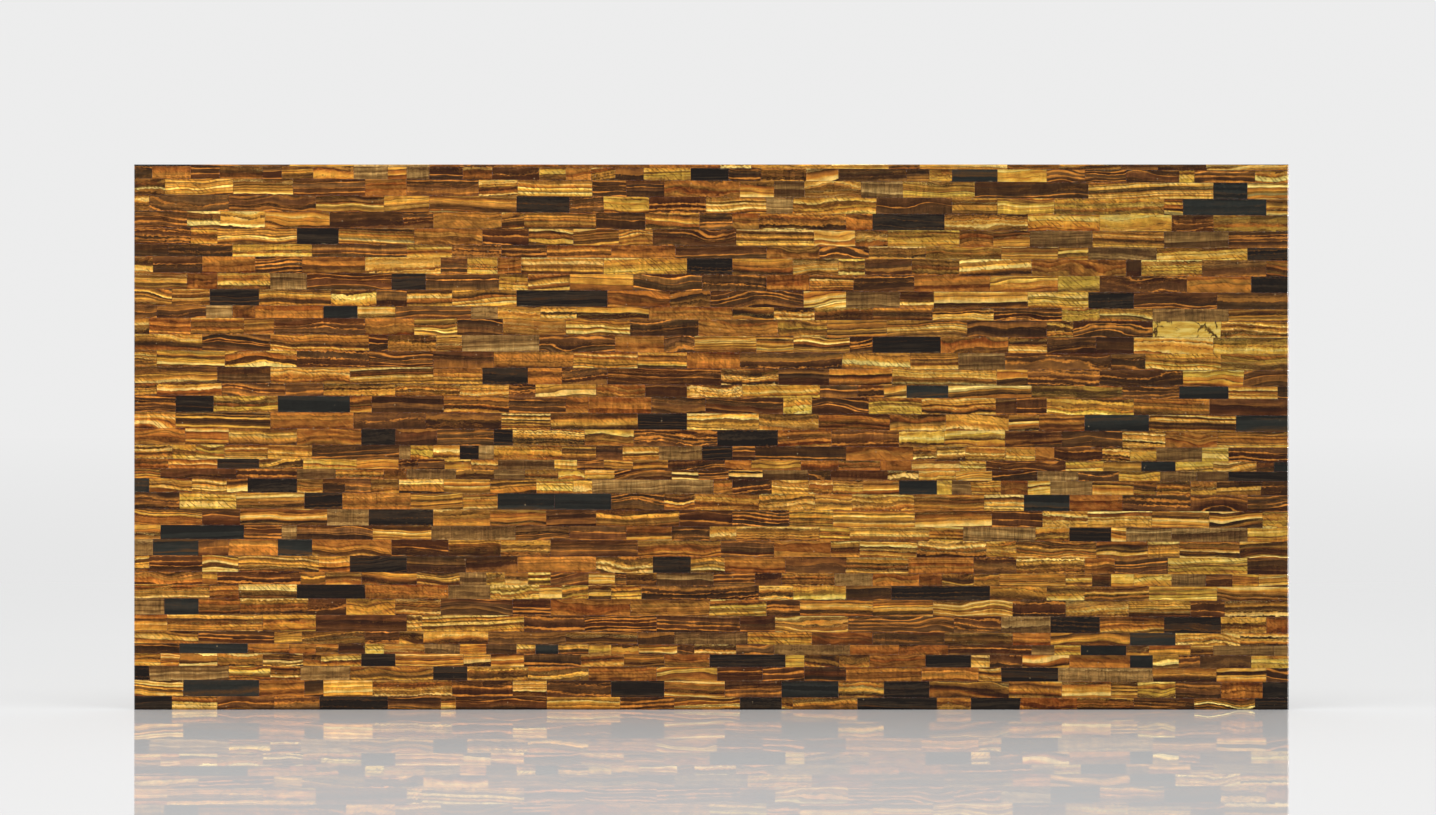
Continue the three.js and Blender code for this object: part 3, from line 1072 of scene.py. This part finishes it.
def run_tree(name, tree, points, depth, bed_heights):
    """Lay blocks on points with the tree, and return them as one plain mesh."""
    mesh = bpy.data.meshes.new(name + " points")
    mesh.from_pydata([(point["start"], 0, 0) for point in points], [], [])
    for attribute in ("length", "start", "start lean", "end lean", "seed", "tone", "kind"):
        data_type = "INT" if attribute == "kind" else "FLOAT"
        layer = mesh.attributes.new(attribute, data_type, "POINT")
        layer.data.foreach_set("value", [point[attribute] for point in points])
    holder = bpy.data.objects.new(name + " points", mesh)
    bpy.context.scene.collection.objects.link(holder)
    modifier = holder.modifiers.new("lay", "NODES")
    modifier.node_group = tree
    values = dict(zip(TREE_SIZES, [depth, SLAB_LENGTH / 2, *bed_heights]))
    for item in tree.interface.items_tree:
        if item.in_out == "INPUT" and item.name in values:
            modifier[item.identifier] = float(values[item.name])
    evaluated = holder.evaluated_get(bpy.context.evaluated_depsgraph_get())
    laid = bpy.data.meshes.new_from_object(evaluated)
    holder.modifiers.remove(modifier)
    bpy.data.objects.remove(holder)
    bpy.data.meshes.remove(mesh)
    laid.name = name
    return laid


def stone_points(blocks):
    """The points of a course's blocks, with the joints between them left free."""
    leans = [0.0]
    for _ in blocks[1:]:
        reach = STRONG_LEAN if draw.random() < STRONG_SHARE else USUAL_LEAN
        leans.append(draw.uniform(-reach, reach))
    leans.append(0.0)
    points = []
    for index, (kind, start, end) in enumerate(blocks):
        left_gap = HEAD_JOINT / 2 if index else 0.0
        right_gap = HEAD_JOINT / 2 if index < len(blocks) - 1 else 0.0
        points.append({
            "start": start - SLAB_LENGTH / 2 + left_gap,
            "length": end - start - left_gap - right_gap,
            "start lean": leans[index],
            "end lean": leans[index + 1],
            "seed": draw.uniform(0, LAST_SEED),
            "tone": draw.random(),
            "kind": KINDS.index(kind),
        })
    return points


points = {node: stone_points(layout[node]) for node in courses}
stone_tree = laying_tree("Lay a course of stone", stones)
print("points are set for", sum(len(p) for p in points.values()), "blocks")

# %% [markdown]
# ## Easing the edges
#
# After the slab was trimmed, its upright edges and its top edge were eased on the polished face, and
# all other edges were only dulled with a stone. In the mesh each is a cut by a slanted plane, and the
# holes that the cut leaves are closed. A closing face takes the material of the block that it closes.

# %% Cut the eased and dulled edges
EASED = 4 * MM
DULLED = 0.8 * MM


def edge_cuts():
    """Each cut as a point on it and its outward direction."""
    left, front, foot = cad_low
    right, back, top = cad_high
    return [
        ((left + EASED, front, 0), (-1, -1, 0)),
        ((right - EASED, front, 0), (1, -1, 0)),
        ((0, front, top - EASED), (0, -1, 1)),
        ((0, front, foot + DULLED), (0, -1, -1)),
        ((left + DULLED, back, 0), (-1, 1, 0)),
        ((right - DULLED, back, 0), (1, 1, 0)),
        ((0, back, top - DULLED), (0, 1, 1)),
        ((0, back, foot + DULLED), (0, 1, -1)),
    ]


def ease(mesh):
    """Cut the slab's edges off a mesh of closed blocks, and close what the cuts open."""
    work = bmesh.new()
    work.from_mesh(mesh)
    for point, outward in edge_cuts():
        parts = work.verts[:] + work.edges[:] + work.faces[:]
        cut = bmesh.ops.bisect_plane(
            work, geom=parts, dist=1e-7, plane_co=point, plane_no=outward, clear_outer=True)
        rims = [item for item in cut["geom_cut"] if isinstance(item, bmesh.types.BMEdge)]
        if rims:
            for face in bmesh.ops.edgeloop_fill(work, edges=rims)["faces"]:
                beside = [other for edge in face.edges for other in edge.link_faces if other is not face]
                face.material_index = beside[0].material_index
    bmesh.ops.recalc_face_normals(work, faces=work.faces)
    work.to_mesh(mesh)
    work.free()


print("edges are cut by", len(edge_cuts()), "planes")

# %% [markdown]
# ## A flat map of each course
#
# A procedural stone needs no UV map in Blender, but a game file does: there the pattern is baked into a
# picture. An automatic map would give a block's hidden sides as much of the picture as its polished face.
# So every face is laid flat by itself, at a scale that suits how it is seen, and the flat faces are set in
# rows, the tallest first, as planks on shelves. The common scale is the largest at which all rows still
# fit.

# %% Write the map maker
PICTURE = 1024
GAP = 2.5
SEEN = {"face": 2.0, "back": 1.0, "end or top": 1.0, "hidden": 0.25}


def seen_as(face):
    """How a face of a stone piece is seen: as polished face, as back, as slab end or top, or hidden."""
    if face.normal.y < -0.5:
        return "face"
    if face.normal.y > 0.5:
        return "back"
    at_end = abs(face.center.x) > SLAB_LENGTH / 2 - EASED
    at_top = face.center.z > cad_high.z - EASED
    return "end or top" if at_end or at_top else "hidden"


def laid_flat(mesh, face):
    """The face's corners on its own plane, in millimetres, from the corner of its bounding box."""
    across = face.normal.cross((0, 0, 1) if abs(face.normal.z) < 0.9 else (0, 1, 0)).normalized()
    upward = face.normal.cross(across)
    corners = np.array([mesh.vertices[index].co for index in face.vertices])
    flat = np.stack([corners @ np.array(across), corners @ np.array(upward)], axis=1) / MM
    return flat - flat.min(axis=0)


def shelve(sizes, scale):
    """Places for islands of these sizes in rows, and the height that the rows need."""
    places = [None] * len(sizes)
    x = y = GAP
    row = 0.0
    for index in sorted(range(len(sizes)), key=lambda i: -sizes[i][1]):
        width, height = sizes[index] * scale
        if x + width + GAP > PICTURE:
            x = GAP
            y += row + GAP
            row = 0.0
        places[index] = (x, y)
        row = max(row, height)
        x += width + GAP
        if width + 2 * GAP > PICTURE:
            return places, math.inf
    return places, y + row + GAP


def flat_map(mesh):
    """Give a mesh its map, and return the scale of a polished face in picture points per millimetre."""
    islands = [laid_flat(mesh, face) * SEEN[seen_as(face)] for face in mesh.polygons]
    sizes = [island.max(axis=0) for island in islands]
    fits, too_large = 0.05, 4.0
    while too_large - fits > 0.005:
        middle = (fits + too_large) / 2
        fits, too_large = (middle, too_large) if shelve(sizes, middle)[1] <= PICTURE else (fits, middle)
    places, _ = shelve(sizes, fits)
    layer = mesh.uv_layers.new(name="OFBake")
    for face, island, place in zip(mesh.polygons, islands, places):
        for loop, corner in zip(face.loop_indices, island):
            layer.data[loop].uv = (corner * fits + place) / PICTURE
    return fits * SEEN["face"]


print("a polished face gets", SEEN["face"] / SEEN["hidden"], "times the scale of a hidden one")

# %% [markdown]
# ## Laying the stone
#
# Now each course is laid, eased, mapped and put on the place of its bar.

# %% Lay all the courses
for number, node in enumerate(courses, 1):
    name = f"stones_{number:02d}"
    mesh = run_tree(name, stone_tree, points[node], SLAB_DEPTH, beds[node])
    ease(mesh)
    scale = flat_map(mesh)
    course = bpy.data.objects.new(name, mesh)
    bpy.context.scene.collection.objects.link(course)
    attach(course, "root")
    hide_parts(node)
print("laid", len(courses), "courses, the last at", round(scale, 2), "picture points per millimetre")

# %% [markdown]
# ## Resin in the joints
#
# The resin fills the bed joints and the head joints, and is ground flush with the stone. It is clear,
# but a joint is very narrow and as deep as the slab, so from the front it reads as a dark amber
# line. The same tree lays it: a head joint is a very short block, and a bed joint one as long as the
# slab. A material that lets light through and swallows it on the way gives the colour by itself.

# %% Resin
RESIN_IOR = 1.55
RESIN_TINT = (0.60, 0.28, 0.08, 1)
RESIN_DENSITY = 260.0
RECESS = 0.05 * MM
CLEARANCE = 0.01 * MM

resin = bpy.data.materials.new("joint resin")
resin.use_nodes = True
wiring = Wiring(resin.node_tree)
surface = resin.node_tree.nodes["Principled BSDF"]
surface.inputs["Base Color"].default_value = WHITE
surface.inputs["Transmission Weight"].default_value = 1.0
surface.inputs["IOR"].default_value = RESIN_IOR
cloud = wiring.noise(wiring.add("ShaderNodeTexCoord").outputs["Object"], scale=60.0)
wiring.put(surface.inputs["Roughness"], wiring.fade(cloud, 0.3, 0.7, 0.05, 0.16))
absorb = wiring.add("ShaderNodeVolumeAbsorption", sockets={"Color": RESIN_TINT, "Density": RESIN_DENSITY})
wiring.put(resin.node_tree.nodes["Material Output"].inputs["Volume"], absorb.outputs["Volume"])
resin_tree = laying_tree("Lay the resin", [resin])
print("made", resin.name)


def resin_point(start, end, start_lean, end_lean):
    """One strip of resin, a hair clear of the stone on both sides."""
    return {
        "start": start + CLEARANCE, "length": end - start - 2 * CLEARANCE, "start lean": start_lean,
        "end lean": end_lean, "seed": draw.uniform(0, LAST_SEED), "tone": 0.5, "kind": 0,
    }


def resin_strips():
    """Plain meshes of all the head joints, course by course, and of all the bed joints."""
    depth = SLAB_DEPTH - 2 * RECESS
    for node in courses:
        stones_here = points[node]
        joints = [
            resin_point(left["start"] + left["length"], right["start"],
                        left["end lean"], right["start lean"])
            for left, right in zip(stones_here[:-1], stones_here[1:])
        ]
        yield run_tree("head joints", resin_tree, joints, depth, beds[node])
    for below, above in zip(courses[:-1], courses[1:]):
        heights = (beds[below][1] + CLEARANCE, beds[above][0] - CLEARANCE,
                   beds[below][3] + CLEARANCE, beds[above][2] - CLEARANCE)
        whole = resin_point(-SLAB_LENGTH / 2, SLAB_LENGTH / 2, 0.0, 0.0)
        yield run_tree("bed joint", resin_tree, [whole], depth, heights)


# %% Run the resin into the joints
work = bmesh.new()
for strip in resin_strips():
    work.from_mesh(strip)
    bpy.data.meshes.remove(strip)
mesh = bpy.data.meshes.new("resin_joints")
work.to_mesh(mesh)
work.free()
mesh.materials.append(resin)
ease(mesh)
joints = bpy.data.objects.new("resin_joints", mesh)
bpy.context.scene.collection.objects.link(joints)
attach(joints, "root")
print("the resin has", len(mesh.polygons), "faces")

# %% [markdown]
# ## The floor and the light
#
# The slab stands on a plain pale floor with a low sheen, which gives a faint mirror image of its foot.
# The world has nearly the same pale grey, so the floor runs into it with no hard line, and it lights
# the slab softly from all round. Two large lamps add to it from the front, and one over the floor just
# in front of the slab makes up for the light that the slab itself holds back there. The last one stands
# far to the right and only shows as a mirror image: a bright line along the eased right edge.

# %% Lay the floor
FLOOR_SIZE = 160.0
FLOOR_GREY = (0.80, 0.80, 0.80, 1)
FLOOR_SHEEN = {"Roughness": 0.012, "IOR": 1.22}

floor_mesh = bpy.data.meshes.new("floor")
half = FLOOR_SIZE / 2
corners = [(-half, -half, 0), (half, -half, 0), (half, half, 0), (-half, half, 0)]
floor_mesh.from_pydata(corners, [], [(0, 1, 2, 3)])
floor = bpy.data.objects.new("floor", floor_mesh)
bpy.context.scene.collection.objects.link(floor)
floor_material = bpy.data.materials.new("pale floor")
floor_material.use_nodes = True
floor_surface = floor_material.node_tree.nodes["Principled BSDF"]
floor_surface.inputs["Base Color"].default_value = FLOOR_GREY
for name, value in FLOOR_SHEEN.items():
    floor_surface.inputs[name].default_value = value
floor_mesh.materials.append(floor_material)
print("the floor is", FLOOR_SIZE, "m wide")

# %% Set the world and the lamps
ROOM_GREY = (0.845, 0.845, 0.845, 1)

world = bpy.data.worlds.new("studio")
world.use_nodes = True
bpy.context.scene.world = world
world.node_tree.nodes["Background"].inputs["Color"].default_value = ROOM_GREY


def lamp(name, place, aim, width, height, brightness, only_mirrored=False):
    """A soft rectangular lamp at a place, turned towards a point and as bright as it looks."""
    data = bpy.data.lights.new(name, "AREA")
    data.shape = "RECTANGLE"
    data.size = width
    data.size_y = height
    data.energy = brightness * math.pi * width * height
    made = bpy.data.objects.new(name, data)
    made.location = place
    made.rotation_euler = (Vector(aim) - Vector(place)).to_track_quat("-Z", "Y").to_euler()
    made.visible_camera = False
    made.visible_diffuse = not only_mirrored
    bpy.context.scene.collection.objects.link(made)


MIDDLE = (0, 0, 0.7)
for name, aside in (("left softbox", -6.5), ("right softbox", 6.5)):
    lamp(name, (aside, -6.0, 4.2), MIDDLE, width=3.5, height=3.5, brightness=2.5)
lamp("ceiling lamp", (0, -0.6, 3.6), (0, -0.6, 0), width=3.6, height=0.9, brightness=4.0)
lamp("edge lamp", (6.4, 0.85, 1.1), (1.5, 0, 0.75), width=1.6, height=2.4, brightness=22.0,
     only_mirrored=True)

bpy.context.scene.view_settings.view_transform = "Standard"
